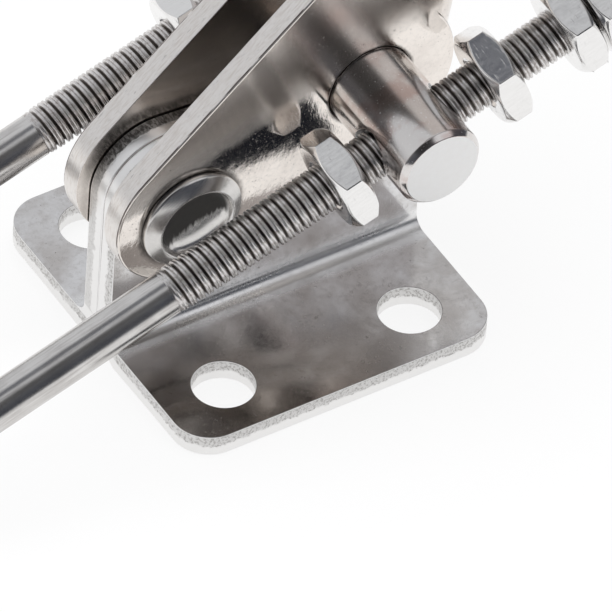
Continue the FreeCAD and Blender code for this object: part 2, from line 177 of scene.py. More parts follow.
# what the marks look like on both sheets, with places in mm
sheetMarks = {
    "pore": (0.2, 0.17, 0.15, 1), "poreRoughness": 0.3, "poreDepth": 0.01,
    "speck": grey(0.42, 0.05), "speckRoughness": 0.2, "grainRoughness": 0.03,
    # the band along the fold, which is rougher and has a painted highlight: its middle, and how far
    # it is whole and where it ends
    "foldHighlight": grey(0.9), "foldHighlightCover": 0.85, "scuffRoughness": 0.13,
    "foldBandMiddle": 3.4, "foldBandUp": (0.7, 1.6), "foldBandAcross": (0.9, 1.9),
    # the dull part of the handle, by its height above the legs
    "mattHeight": (3.1, 4.9), "mattWander": 2,
    # the colour of the painted shade round the rivet's head and the trunnion
    "ringShadeColour": (0.05, 0.045, 0.042, 1),
}
# painted shade: a soft darker patch on the right flange's front, standing in for the dark wall and
# handle that it mirrors
paintedFlangeShade = {
    "middle": (-14, -19, 2), "from": 3, "to": 27, "wander": 12,    # mm
    "colour": (0.27, 0.245, 0.225, 1),
}
# painted shade in rings on the cheeks, round the rivet's head and round the trunnion
ringShades = [
    {"centre": pivot, "radius": 5.6, "reach": 0.8},    # mm, round the rivet's head
    {"centre": trunnionMiddle, "radius": 4.75, "reach": 0.4},
]


def alongLegs(place):
    # the place turned into the U-bolt's frame, so that X runs along the legs
    middle = boltFrame.inverted() @ Vector((0, 0, 0)) / mm
    return place.moved(turn=(0, legSlope, 0), shift=tuple(middle))


def fromAxis(place, centre):
    # the place, and its distance, from the Y axis through centre
    spot = place.moved(shift=(-centre.x / mm, 0, -centre.z / mm), scale=(1, 0, 1))
    radius = place.node(
        "ShaderNodeVectorMath", {0: spot}, {"operation": "LENGTH"}, output="Value")
    return spot, radius


def paintedRingShade(place, ring):
    # painted shade on the cheeks, in a ragged ring round a turned piece where it meets them
    radius, reach = ring["radius"], ring["reach"]
    away = fromAxis(place, ring["centre"])[1]
    ragged = (place.noise(0.9, 3, 0.6) - 0.5) * reach
    outside = away.step(radius - 0.5, radius - 0.3)
    return (1 - (away + ragged).step(radius, radius + reach)) * outside


# the band along the fold that carries the painted highlight
def foldBand(place, marks):
    up = abs(place.axis("Z") - marks["foldBandMiddle"]).step(*marks["foldBandUp"])
    across = abs(abs(place.axis("Y")) - marks["foldBandMiddle"]).step(*marks["foldBandAcross"])
    return (1 - up) * (1 - across)


# the painted shade on the flanges, ragged at its edge, and stopping below the fold
def shadedFlangeFront(place):
    toMiddle = place.node(
        "ShaderNodeVectorMath", {0: place, 1: paintedFlangeShade["middle"]}, {"operation": "DISTANCE"},
        output="Value")
    wander = (place.noise(0.25, 3, 0.6) - 0.5) * paintedFlangeShade["wander"]
    near = 1 - (toMiddle + wander).step(paintedFlangeShade["from"], paintedFlangeShade["to"])
    return near * (1 - place.axis("Z").step(foldHeight - 1.2, foldHeight + 1))


def dullPart(place, marks):
    # inside the channel and above the legs, where the buffing didn't reach as well
    wander = (place.noise(0.3, 2, 0.5) - 0.5) * marks["mattWander"]
    above = (alongLegs(place).axis("Z") + wander).step(*marks["mattHeight"])
    inside = 1 - abs(place.axis("Y")).step(cheekInner + 0.5, cheekInner + 1)
    return above.math("MAXIMUM", above, inside)


def polishedSheet(values):
    # buffed sheet: soft stains, fine marks that run up and down, and a few pores left dark
    marks = sheetMarks

    def build(place):
        haze = place.noise(0.16, 4, 0.6).step(0.35, 0.68)
        grain = place.moved(scale=(1, 1, 0.12)).noise(5.0, 3, 0.6)
        fray = place.moved(scale=(1, 1, 0.45)).noise(1.3, 4, 0.65)
        speckle = place.noise(1.7, 5, 0.8).step(0.46, 0.66) * values["speckle"]
        fold = foldBand(place, marks) * values["fold"]
        waves = place.noise(0.22, 1, 0.4)
        poreAreas = place.noise(0.4, 2, 0.5).step(0.42, 0.6)
        pores = place.noise(4.2, 2, 0.6).step(0.66, 0.73) * poreAreas * values["pits"]
        # painted shade round the rivet's head and the trunnion
        dirtAndShade = paintedRingShade(place, ringShades[0]) + paintedRingShade(place, ringShades[1])
        colour = pores.blend(haze.blend(values["light"], values["dark"]), marks["pore"])
        colour = (dirtAndShade * values["ringShadeStrength"]).blend(colour, marks["ringShadeColour"])
        # painted shade on the right flange's front
        flangeShading = shadedFlangeFront(place) * values["paintedFlangeShade"]
        colour = flangeShading.blend(colour, paintedFlangeShade["colour"])
        colour = speckle.blend(colour, marks["speck"])
        # painted highlight along the fold
        colour = (fold * marks["foldHighlightCover"]).blend(colour, marks["foldHighlight"])
        roughness = haze * values["haze"] + grain * marks["grainRoughness"] + values["roughness"]
        roughness = roughness + pores * marks["poreRoughness"] + speckle * marks["speckRoughness"]
        roughness = roughness + fold * marks["scuffRoughness"]
        roughness = roughness + dullPart(place, marks) * values["matt"]
        height = waves * values["waviness"] + grain * values["grain"] + fray * values["fray"]
        return colour, roughness, height - pores * marks["poreDepth"]
    return build


edgeFinish = {
    "burnished": grey(0.86, 0.01), "torn": grey(0.76, 0.012), "scar": grey(0.32, 0.05),
    "burnishedRoughness": 0.25, "tornRoughness": 0.43, "unevenRoughness": 0.1,
    # depths run through the sheet from 0 to 1
    "wander": 0.5, "tornHalf": 0.05, "rim": (0.93, 0.97),
    "scarDepth": 0.07, "unevenDepth": 0.012,    # mm
}


def unevenEdge(place):
    # the roughness and height that every cut edge has
    values = edgeFinish
    roughness = place.noise(2, 2, 0.5) * values["unevenRoughness"] + values["burnishedRoughness"]
    return roughness, place.noise(1.6, 3, 0.6) * values["unevenDepth"]


def shearedEdge(depth, tornFrom, scars, place):
    # depth runs from 0 at the punched side, smooth, to 1 at the side where the sheet tore
    values = edgeFinish
    wandering = depth + (place.noise(0.9, 3, 0.7) - 0.5) * values["wander"]
    torn = wandering.step(tornFrom - values["tornHalf"], tornFrom + values["tornHalf"])
    torn = torn * (1 - depth.step(*values["rim"]))
    crumbs = place.noise(3.6, 4, 0.7)
    scarred = crumbs.step(0.48, 0.61) * torn * scars
    colour = scarred.blend(torn.blend(values["burnished"], values["torn"]), values["scar"])
    roughness, height = unevenEdge(place)
    roughness = roughness + torn * (values["tornRoughness"] - values["burnishedRoughness"])
    return colour, roughness, height - crumbs * torn * scars * values["scarDepth"]


# the left plate's arc tore deeper than the rest and holds dirt
arcEdge = {
    "height": (19, 24), "torn": (0.48, 0.56), "wander": 0.25, "cover": 0.9,
    "dirtAndShade": grey(0.06, 0.08), "bare": grey(0.42, 0.03), "depth": 0.03,
}
plateScars = {"most": 0.75, "lessOnLeftWall": 0.5}


def baseEdge(place):
    # the plates tore on their outer side, which is the top of the flanges
    onWall = place.axis("Z").step(foldHeight - 0.1, foldHeight + 0.1)
    wallDepth = abs(place.axis("Y")) / plateThickness
    flangeDepth = place.axis("Z") / plateThickness
    depth = onWall * wallDepth + (1 - onWall) * flangeDepth
    onLeft = place.axis("Y").step(0, 0.1)
    scars = plateScars["most"] - onLeft * onWall * plateScars["lessOnLeftWall"]
    colour, roughness, height = shearedEdge(depth, 0.5, scars, place)
    onArc = place.axis("Z").step(*arcEdge["height"]) * onLeft
    wandering = depth + (place.noise(1.2, 3, 0.6) - 0.5) * arcEdge["wander"]
    torn = wandering.step(*arcEdge["torn"]) * onArc
    hatch = place.moved(scale=(1, 0.5, 1), turn=(0.8, 0.4, 0.2)).noise(3.4, 4, 0.75)
    hatched = hatch.step(0.42, 0.62).blend(arcEdge["dirtAndShade"], arcEdge["bare"])
    colour = (torn * arcEdge["cover"]).blend(colour, hatched)
    return colour, roughness, height + hatch * torn * arcEdge["depth"]


# mark is the colour of the tears and of the painted shade line
cheekEdge = {
    "dark": (0.7, 0.655, 0.615, 1), "light": (0.84, 0.81, 0.785, 1), "mark": (0.16, 0.13, 0.12, 1),
    "tearCover": 0.5, "shadeLineAt": 0.93, "shadeLineWander": 0.05, "shadeLineHalf": (0.016, 0.034),
    "markDepth": 0.04,
}


def handleEdge(place):
    # nearly all smooth, with small tears along the middle, and a line under the outer arris that is
    # dented slightly and painted dark as shade
    values = cheekEdge
    depth = (abs(place.axis("Y")) - cheekInner) / cheekThickness
    roughness, height = unevenEdge(place)
    streaks = place.moved(scale=(0.45, 3.2, 0.45)).noise(1.6, 4, 0.7)
    tears = streaks.step(0.6, 0.72) * (1 - depth.step(0.75, 0.9)) * values["tearCover"]
    # painted shade: a dark line in patches where the outer arris begins to round over
    drift = (place.noise(0.5, 3, 0.6) - 0.5) * values["shadeLineWander"]
    shadeLine = 1 - abs(depth + drift - values["shadeLineAt"]).step(*values["shadeLineHalf"])
    shadeLine = shadeLine * place.noise(0.35, 2, 0.5).step(0.36, 0.46)
    marks = tears.math("MAXIMUM", tears, shadeLine)
    colour = streaks.step(0.3, 0.6).blend(values["dark"], values["light"])
    return marks.blend(colour, values["mark"]), roughness, height - marks * values["markDepth"]


barFinish = {
    "light": (0.72, 0.695, 0.68, 1), "tint": (0.6, 0.5, 0.47, 1), "specks": grey(0.9),
    "roughness": 0.1, "ringRoughness": 0.1, "speckRoughness": 0.2,
    "ringDepth": 0.0002, "waveDepth": 0.006,
}


def polishedBar(place):
    # drawn bar, with faint rings from its polishing round the Y axis
    values = barFinish
    rings = place.moved(scale=(0.15, 8, 0.15)).noise(1.0, 3, 0.6)
    darkPatch = place.noise(0.3, 3, 0.6).step(0.45, 0.7)
    specks = place.noise(6, 2, 0.5).step(0.68, 0.74)
    colour = specks.blend(darkPatch.blend(values["light"], values["tint"]), values["specks"])
    roughness = rings * values["ringRoughness"] + specks * values["speckRoughness"]
    height = rings * values["ringDepth"] + place.noise(0.25, 1, 0.5) * values["waveDepth"]
    return colour, roughness + values["roughness"], height


facedFinish = {
    "dark": grey(0.82, 0.01), "light": grey(0.9), "roughness": 0.42, "blurRoughness": 0.12,
    "ringWaves": 52, "ringDepth": 0.0012, "blurDepth": 0.004,
}


def turnedFace(place):
    # the trunnion's ends, faced on a lathe: fine rings round its axis
    values = facedFinish
    radius = fromAxis(place, trunnionMiddle)[1]
    rings = radius.math("SINE", radius * values["ringWaves"])
    blur = place.noise(1.2, 3, 0.6)
    colour = blur.blend(values["dark"], values["light"])
    roughness = blur * values["blurRoughness"] + values["roughness"]
    return colour, roughness, rings * values["ringDepth"] + blur * values["blurDepth"]


rodFinish = {
    "light": (0.72, 0.705, 0.69, 1), "dark": (0.54, 0.52, 0.505, 1),
    "roughness": 0.17, "lineRoughness": 0.14, "lineDepth": 0.0005, "patchDepth": 0.01,
}


def drawnRod(place):
    # drawing lines along the legs, in patches
    values = rodFinish
    lines = alongLegs(place).moved(scale=(0.05, 1, 1)).noise(4.0, 3, 0.6)
    patches = place.noise(0.2, 3, 0.6)
    tone = (patches * 0.5 + lines * 0.5).step(0.35, 0.65)
    roughness = lines * values["lineRoughness"] + values["roughness"]
    height = lines * values["lineDepth"] + patches * values["patchDepth"]
    return tone.blend(values["light"], values["dark"]), roughness, height


bolt = {
    "legSpacing": 25.2 * mm, "rodRadius": 2.3 * mm, "segments": 56,
    "hookReach": 79.2 * mm, "hookCorner": 9.5 * mm, "cornerSteps": 20,
    "threadStart": -29.1 * mm, "threadEnd": 26 * mm, "rodInThread": 0.15 * mm,
    "pitch": 0.98 * mm, "crest": 2.45 * mm, "root": 2.0 * mm, "stepsPerTurn": 40,
    # one pitch of the rolled thread: share of the pitch, share of the depth filled
    "profile": [
        (0.0, 0.0), (0.05, 0.1), (0.12, 0.55), (0.18, 0.84), (0.25, 0.98), (0.32, 1.0),
        (0.39, 0.93), (0.45, 0.82), (0.5, 0.68), (0.55, 0.82), (0.61, 0.93), (0.68, 1.0),
        (0.75, 0.98), (0.82, 0.84), (0.88, 0.55), (0.95, 0.1),
    ],
    "fadeIn": 1.3 * mm, "tailChamfer": 0.5 * mm, "sharpAngle": 60,
}

threadFinish = {
    # root is the painted shade in the thread's root
    "crest": (0.74, 0.72, 0.71, 1), "root": (0.24, 0.22, 0.205, 1), "darkPatch": (0.5, 0.46, 0.44, 1),
    "shadeAboveRoot": (0.06, 0.38),    # mm, where the painted shade starts to thin and where it ends
    "roughness": 0.28, "darkPatchRoughness": 0.15, "unevenDepth": 0.006,
}


def rolledThread(place):
    # painted shade darkens the thread's root, and stains lie here and there on its crests
    values = threadFinish
    onLeg = alongLegs(place)
    across = abs(onLeg.axis("Y")) - bolt["legSpacing"] / 2 / mm
    up = onLeg.axis("Z")
    squared = across * across + up * up
    aboveRoot = squared.math("SQRT", squared) - bolt["root"] / mm
    darkPatch = place.noise(2.2, 4, 0.7).step(0.45, 0.7)
    crest = darkPatch.blend(values["crest"], values["darkPatch"])
    # painted shade in the root
    colour = aboveRoot.step(*values["shadeAboveRoot"]).blend(values["root"], crest)
    roughness = darkPatch * values["darkPatchRoughness"] + values["roughness"]
    return colour, roughness, place.noise(3, 3, 0.6) * values["unevenDepth"]


nutFinish = {
    "shine": grey(0.86, 0.01), "scratched": grey(0.6), "lined": grey(0.79, 0.015),
    "roughness": 0.11, "lineRoughness": 0.12, "scratchRoughness": 0.2,
    "lineDepth": 0.0007, "scratchDepth": 0.004, "waveDepth": 0.04,
}


def groundFlat(place):
    # hexagon bar: fine drawing marks along the leg, and a few scratches across
    values = nutFinish
    along = alongLegs(place)
    lines = along.moved(scale=(0.12, 1, 1)).noise(5.0, 4, 0.7)
    patches = place.noise(0.3, 3, 0.55)
    scratches = along.moved(scale=(3.2, 0.25, 0.25)).noise(2.4, 3, 0.7).step(0.6, 0.72)
    scratches = scratches * patches.step(0.42, 0.58)
    colour = scratches.blend(values["shine"], values["scratched"])
    colour = (lines.step(0.35, 0.7) * patches).blend(colour, values["lined"])
    roughness = lines * values["lineRoughness"] + scratches * values["scratchRoughness"]
    height = lines * values["lineDepth"] - scratches * values["scratchDepth"]
    return colour, roughness + values["roughness"], height + patches * values["waveDepth"]


headFinish = {
    # the near-black colour is a painted dark reflection of the leg in the dish
    "light": grey(0.74, 0.02), "dark": grey(0.6, 0.03), "darkPatch": (0.03, 0.028, 0.026, 1),
    # mm: how far below the middle the painted reflection ends, and how far out in the dish
    "reflectionBelow": (0.9, 1.9), "reflectionOut": (3.6, 4.0), "reflectionWander": 2.2, "reflectionCover": 0.94,
    "roughness": 0.16, "blurRoughness": 0.14, "darkPatchRoughness": 0.2,
    "ringWaves": 34, "ringDepth": 0.0004, "blurDepth": 0.001,
}


def turnedHead(place):
    # turned all over, with a dark reflection of the leg painted in the dish, up to a ragged edge on
    # its lower side
    values = headFinish
    spot, radius = fromAxis(place, pivot)
    rings = radius.math("SINE", radius * values["ringWaves"])
    blur = place.noise(1.6, 4, 0.65)
    # painted reflection: dark above a ragged line that runs along the leg
    below = spot.moved(turn=(0, legSlope, 0)).axis("Z") * -1
    wander = place.moved(scale=(2.4, 0.3, 0.5)).noise(1.0, 3, 0.7) - 0.5
    paintedReflection = 1 - (below + wander * values["reflectionWander"]).step(*values["reflectionBelow"])
    paintedReflection = paintedReflection * (1 - radius.step(*values["reflectionOut"]))
    colour = blur.blend(values["light"], values["dark"])
    colour = (paintedReflection * values["reflectionCover"]).blend(colour, values["darkPatch"])
    roughness = blur * values["blurRoughness"] + paintedReflection * values["darkPatchRoughness"]
    height = rings * values["ringDepth"] + blur * values["blurDepth"]
    return colour, roughness + values["roughness"], height


finishes = {
    "baseSheet": newMaterial("polishedBase", polishedSheet(baseSheet)),
    "handleSheet": newMaterial("polishedHandle", polishedSheet(handleSheet)),
    "baseEdge": newMaterial("baseEdge", baseEdge),
    "handleEdge": newMaterial("handleEdge", handleEdge),
    "bar": newMaterial("polishedBar", polishedBar),
    "barEnd": newMaterial("barEnd", turnedFace),
    "rod": newMaterial("drawnRod", drawnRod),
    "thread": newMaterial("rolledThread", rolledThread),
    "nut": newMaterial("groundFlat", groundFlat),
    "head": newMaterial("turnedHead", turnedHead),
}
print("finishes made")


# Mesh helpers

weldDistance = 0.001 * mm
touching = 0.01 * mm    # how near to a face's plane still counts as on it
plainAngle = 28    # degrees, above which an edge is a corner of the piece
squareAngle = 50    # degrees, above which it is one even between narrow faces


def mergedCopy(nodeName):
    # a CAD node's mesh with its triangles joined and its flat faces made whole
    bm = bmesh.new()
    bm.from_mesh(nodes[nodeName].data)
    bmesh.ops.remove_doubles(bm, verts=bm.verts, dist=weldDistance)
    bmesh.ops.dissolve_limit(bm, angle_limit=math.radians(0.4), verts=bm.verts, edges=bm.edges)
    return bm


def roundEdges(bm, chosen, radius, segments):
    picked = [edge for edge in bm.edges if edge.is_manifold and chosen(edge)]
    bmesh.ops.bevel(
        bm, geom=picked, offset=radius, offset_type="OFFSET", segments=segments,
        profile=0.5, affect="EDGES", clamp_overlap=False, material=-1,
    )


def isSharp(edge, degrees=plainAngle):
    return edge.calc_face_angle(0) > math.radians(degrees)


def addPiece(bm, name, node, body, materials, smoothAngle=35, weighted=True):
    mesh = bpy.data.meshes.new(name)
    bm.to_mesh(mesh)
    bm.free()
    for material in materials:
        mesh.materials.append(finishes[material])
    mesh.shade_smooth()
    mesh.set_sharp_from_angle(angle=math.radians(smoothAngle))
    piece = bpy.data.objects.new(name, mesh)
    bpy.context.collection.objects.link(piece)
    if weighted:
        modifier = piece.modifiers.new("faceNormals", "WEIGHTED_NORMAL")
        modifier.keep_sharp = True
    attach(piece, body)
    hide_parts(node)
    return piece


# Base plates

# the arris where the sheet rolled under the punch, and the one where it tore
basePlate = {"rolledArris": 0.22 * mm, "tornArris": 0.07 * mm, "steps": 4, "tornSteps": 2}


def makeBasePlate(side):
    node = f"base_plate_{side}"
    bm = mergedCopy(node)
    fold = foldHeight * mm
    for face in bm.faces:
        middle = face.calc_center_median()
        if middle.z > fold:
            sheared = abs(face.normal.y) < 0.5
        elif abs(middle.y) > fold:
            sheared = abs(face.normal.z) < 0.5
        else:
            sheared = abs(face.normal.x) > 0.5
        face.material_index = int(sheared)

    def onInnerSide(edge):
        spots = [vert.co for vert in edge.verts]
        onWall = all(abs(spot.y) < touching and spot.z > fold for spot in spots)
        onSole = all(spot.z < touching for spot in spots)
        return isSharp(edge) and (onWall or onSole)

    roundEdges(bm, onInnerSide, basePlate["rolledArris"], basePlate["steps"])
    roundEdges(
        bm, lambda edge: isSharp(edge, squareAngle), basePlate["tornArris"], basePlate["tornSteps"])
    return addPiece(bm, f"basePlate_{side}", node, "base", ["baseSheet", "baseEdge"])


for side in ("right", "left"):
    makeBasePlate(side)
print("base plates made")


# Handle

handle = {
    "outerArris": 0.26 * mm, "outerSteps": 4, "innerArris": 0.08 * mm, "innerSteps": 2,
    "closer": 0.15 * mm,    # how far each cheek's inner face comes towards the plates
    "cheekFrom": 2.6 * mm,    # a face that lies wholly past this is on a cheek
}


def makeHandle():
    bm = mergedCopy("handle")
    outer = (cheekInner + cheekThickness) * mm
    for vert in bm.verts:
        if abs(abs(vert.co.y) - cheekInner * mm) < touching:
            vert.co.y -= math.copysign(handle["closer"], vert.co.y)
    for face in bm.faces:
        onCheek = all(abs(vert.co.y) > handle["cheekFrom"] for vert in face.verts)
        face.material_index = int(onCheek and abs(face.normal.y) < 0.3)

    def onOuterSide(edge):
        return isSharp(edge) and all(abs(vert.co.y) > outer - touching for vert in edge.verts)

    roundEdges(bm, onOuterSide, handle["outerArris"], handle["outerSteps"])
    roundEdges(
        bm, lambda edge: isSharp(edge, squareAngle), handle["innerArris"], handle["innerSteps"])
    return addPiece(
        bm, "channelHandle", "handle", "handle", ["handleSheet", "handleEdge"])


makeHandle()
print("handle made")


# Trunnion

trunnion = {"arris": 0.1 * mm, "steps": 3}


def makeTrunnion():
    bm = mergedCopy("trunnion")
    for face in bm.faces:
        face.material_index = int(abs(face.normal.y) > 0.9)
    roundEdges(bm, isSharp, trunnion["arris"], trunnion["steps"])
    return addPiece(bm, "trunnionBar", "trunnion", "trunnion", ["bar", "barEnd"])


makeTrunnion()
print("trunnion made")


# Rivet

rivet = {
    "segments": 112, "shankRadius": 3 * mm, "sharpAngle": 50,
    # half of the turned outline, from the middle of the dish: across and out, in mm
    "outline": [
        (0.0, 5.3), (0.8, 5.31), (1.6, 5.35), (2.3, 5.42), (2.9, 5.54), (3.35, 5.7), (3.65, 5.9),
        (3.84, 6.15), (3.96, 6.4), (4.03, 6.6), (4.1, 6.69), (4.2, 6.72), (4.32, 6.68),
        (5.38, 5.98), (5.5, 5.9), (5.57, 5.8), (5.6, 5.68), (5.6, 5.3), (5.5, 5.2),
    ],
}


def spinOutline(bm, points, axis, centre, segments):
    # points is an open chain of places; its ends lie on the axis or stay open
    verts = [bm.verts.new(point) for point in points]
    edges = [bm.edges.new(pair) for pair in zip(verts, verts[1:])]
    bmesh.ops.spin(
        bm, geom=verts + edges, cent=centre, axis=axis, dvec=(0, 0, 0),
        angle=math.tau, steps=segments, use_merge=True, use_duplicate=False,
    )
    bmesh.ops.remove_doubles(bm, verts=bm.verts, dist=weldDistance)
    bmesh.ops.recalc_face_normals(bm, faces=bm.faces)


def makeRivet():
    bm = bmesh.new()
    half = [(across * mm, out * mm) for across, out in rivet["outline"]]
    points = [(pivot.x + across, out, pivot.z) for across, out in half]
    shank = (pivot.x + rivet["shankRadius"], half[-1][1], pivot.z)
    mirrored = [(x, -y, z) for x, y, z in reversed(points + [shank])]
    spinOutline(bm, points + [shank] + mirrored, (0, 1, 0), pivot, rivet["segments"])
    return addPiece(
        bm, "pivotRivet", "pivot_rivet", "handle", ["head"],
        smoothAngle=rivet["sharpAngle"], weighted=False)


makeRivet()


def makeBushing():
    bm = mergedCopy("pivot_bushing")
    return addPiece(bm, "pivotBushing", "pivot_bushing", "handle", ["bar"])


makeBushing()
print("pivot made")


# U-bolt

def sweepRod(bm):
    half = bolt["legSpacing"] / 2
    corner = bolt["hookCorner"]
    end = bolt["threadStart"] + bolt["rodInThread"]
    start = Vector((end, -half, 0))
    made = bmesh.ops.create_circle(
        bm, cap_ends=True, radius=bolt["rodRadius"], segments=bolt["segments"],
        matrix=Matrix.Translation(start) @ Matrix.Rotation(math.pi / 2, 4, "Y"),
    )
    face = made["verts"][0].link_faces[0]

    def run(face, way):
        grown = bmesh.ops.extrude_discrete_faces(bm, faces=[face])["faces"][0]
        bmesh.ops.translate(bm, vec=way, verts=grown.verts)
        return grown

    def turn(face, centre):
        made = bmesh.ops.spin(
            bm, geom=[face] + list(face.edges) + list(face.verts), cent=centre, axis=(0, 0, 1),
            angle=-math.pi / 2, steps=bolt["cornerSteps"], use_merge=False, use_duplicate=False,
        )
        return next(item for item in made["geom_last"] if isinstance(item, bmesh.types.BMFace))

    toCorner = end + bolt["hookReach"] - corner
    face = run(face, Vector((-toCorner, 0, 0)))
    face = turn(face, (-bolt["hookReach"] + corner, -half + corner, 0))
    face = run(face, Vector((0, bolt["legSpacing"] - 2 * corner, 0)))
    face = turn(face, (-bolt["hookReach"] + corner, half - corner, 0))
    run(face, Vector((toCorner, 0, 0)))
    # the first leg's end was left open when its face was drawn out
    rim = [edge for edge in bm.edges if edge.is_boundary]
    bmesh.ops.edgeloop_fill(bm, edges=rim)


def rollThread():
    # one turn of the helix, repeated along the leg, cut to length and tapered at its ends
    first, last = bolt["threadStart"], bolt["threadEnd"]
    pitch, crest, root = bolt["pitch"], bolt["crest"], bolt["root"]
    begin = first - 2 * pitch    # well ahead, so that the cut crosses whole turns
    bm = bmesh.new()
    verts = [
        bm.verts.new((begin + share * pitch, 0, root + filled * (crest - root)))
        for share, filled in bolt["profile"] + [(1.0, 0.0)]
    ]
    edges = [bm.edges.new(pair) for pair in zip(verts, verts[1:])]
    bmesh.ops.spin(
        bm, geom=verts + edges, cent=(0, 0, 0), axis=(1, 0, 0),
        dvec=(pitch / bolt["stepsPerTurn"], 0, 0), angle=math.tau, steps=bolt["stepsPerTurn"],
        use_merge=False, use_duplicate=False,
    )
    oneTurn = list(bm.verts) + list(bm.edges) + list(bm.faces)
    for turn in range(1, math.ceil((last - begin) / pitch) + 1):
        copy = bmesh.ops.duplicate(bm, geom=oneTurn)["geom"]
        moved = [item for item in copy if isinstance(item, bmesh.types.BMVert)]
        bmesh.ops.translate(bm, vec=(turn * pitch, 0, 0), verts=moved)
    bmesh.ops.remove_doubles(bm, verts=bm.verts, dist=weldDistance)
    for cut, outward in ((first, -1), (last, 1)):
        sliced = bmesh.ops.bisect_plane(
            bm, geom=list(bm.verts) + list(bm.edges) + list(bm.faces),
            plane_co=(cut, 0, 0), plane_no=(outward, 0, 0), clear_outer=True,
        )
        rim = [item for item in sliced["geom_cut"] if isinstance(item, bmesh.types.BMEdge)]
        bmesh.ops.edgeloop_fill(bm, edges=rim)
    for vert in bm.verts:
        reach = math.hypot(vert.co.y, vert.co.z)
        faded = min(1, (vert.co.x - first) / bolt["fadeIn"])
        wanted = bolt["rodRadius"] + (reach - bolt["rodRadius"]) * faded
        wanted = min(wanted, crest - bolt["tailChamfer"] + (last - vert.co.x))
        vert.co.y *= wanted / reach
        vert.co.z *= wanted / reach
    bmesh.ops.recalc_face_normals(bm, faces=bm.faces)
    for face in bm.faces:
        face.material_index = 1
    mesh = bpy.data.meshes.new("thread")
    bm.to_mesh(mesh)
    bm.free()
    return mesh


def makeBolt():
    bm = bmesh.new()
    sweepRod(bm)
    bmesh.ops.recalc_face_normals(bm, faces=bm.faces)
    thread = rollThread()
    for side in (-1, 1):
        rod = set(bm.verts)
        bm.from_mesh(thread)
        bmesh.ops.translate(
            bm, vec=(0, side * bolt["legSpacing"] / 2, 0),
            verts=[vert for vert in bm.verts if vert not in rod])
    bpy.data.meshes.remove(thread)
    bmesh.ops.transform(bm, matrix=boltFrame, verts=bm.verts)
    return addPiece(
        bm, "hookBolt", "u_bolt", "u_bolt", ["rod", "thread"],
        smoothAngle=bolt["sharpAngle"], weighted=False)


makeBolt()
print("U-bolt made")


# Nuts

nut = {
    "flats": 9.5 * mm, "thickness": 3.2 * mm, "bore": 2.5 * mm, "boreChamfer": 0.4 * mm,
    "crownSlope": 38, "crownInset": 0.2 * mm, "segments": 144,
    "spare": 0.05 * mm,    # how far the turned ring stands past the corners before they are cut
    "arris": 0.09 * mm, "arrisSteps": 3, "cornerAngle": 20, "sharpAngle": 30,
    # how each nut's corners stand round its leg, in degrees
    "spins": {
        "front_nut_right": 22.5, "back_nut_right": 19.0,
        "lock_nut_right": 22.5, "end_nut_right": 27.5,
        "front_nut_left": 48.0, "back_nut_left": 24.0,
        "lock_nut_left": 5.0, "end_nut_left": 17.0,
    },
}


def makeNut(name, spin):
    # a chamfered ring is turned about X, then six planes cut its flats
    bm = bmesh.new()
    half, flat, bore = nut["thickness"] / 2, nut["flats"] / 2, nut["bore"]
    reach = flat / math.cos(math.pi / 6) + nut["spare"]
    crown = flat - nut["crownInset"]
    slant = (reach - crown) * math.tan(math.radians(nut["crownSlope"]))
    chamfer = nut["boreChamfer"]
    outline = [
        (-half + chamfer, bore), (-half, bore + chamfer), (-half, crown),
        (-half + slant, reach), (half - slant, reach), (half, crown),
        (half, bore + chamfer), (half - chamfer, bore), (-half + chamfer, bore),
    ]
    spinOutline(bm, [(x, 0, z) for x, z in outline], (1, 0, 0), (0, 0, 0), nut["segments"])
    for turn in range(6):
        angle = math.radians(spin + 30 + 60 * turn)
        outward = Vector((0, math.cos(angle), math.sin(angle)))
        cut = bmesh.ops.bisect_plane(
            bm, geom=list(bm.verts) + list(bm.edges) + list(bm.faces),
            plane_co=outward * flat, plane_no=outward, clear_outer=True,
        )
        rim = [item for item in cut["geom_cut"] if isinstance(item, bmesh.types.BMEdge)]
        bmesh.ops.edgeloop_fill(bm, edges=rim)
    bmesh.ops.recalc_face_normals(bm, faces=bm.faces)
    roundEdges(
        bm, lambda edge: isSharp(edge, nut["cornerAngle"]), nut["arris"], nut["arrisSteps"])
    place = boltFrame @ Matrix.Translation(
        boltFrame.inverted() @ Vector(joints[name + "_turn"]["pos_m"]))
    bmesh.ops.transform(bm, matrix=place, verts=bm.verts)
    pieceName = "hexNut_" + name.replace("_nut_", "_")
    return addPiece(
        bm, pieceName, name, name, ["nut"], smoothAngle=nut["sharpAngle"])


for name, spin in nut["spins"].items():
    makeNut(name, spin)
print("nuts made")


# Studio

floorPlan = {
    "size": 6.0, "below": -0.02 * mm, "colour": grey(0.93), "roughness": 0.7,
    "glow": 0.86,    # how much of the paper's look is its own white, without the shadow
}


def makeFloor():
    bm = bmesh.new()
    bmesh.ops.create_grid(
        bm, x_segments=1, y_segments=1, size=floorPlan["size"] / 2,
        matrix=Matrix.Translation((0, 0, floorPlan["below"])),
    )
    mesh = bpy.data.meshes.new("floor")
    bm.to_mesh(mesh)
    bm.free()
    made = bpy.data.materials.new("floorPaper")
    made.use_nodes = True
    tree = made.node_tree
    shader = tree.nodes["Principled BSDF"]
    shader.inputs["Base Color"].default_value = floorPlan["colour"]
    shader.inputs["Roughness"].default_value = floorPlan["roughness"]
    start = Wire(tree)
    white = start.node("ShaderNodeEmission")
    paths = start.node("ShaderNodeLightPath", output="Is Camera Ray")
    mirrored = start.node("ShaderNodeLightPath", output="Is Glossy Ray")
    through = start.node("ShaderNodeLightPath", output="Is Transmission Ray")
    paper = start.node("ShaderNodeMixShader", {
        "Fac": (paths + mirrored + through) * floorPlan["glow"],
        1: Wire(tree, shader.outputs["BSDF"]), 2: white,
    })
    tree.links.new(paper.socket, tree.nodes["Material Output"].inputs["Surface"])
    mesh.materials.append(made)
    floor = bpy.data.objects.new("floor", mesh)
    bpy.context.collection.objects.link(floor)


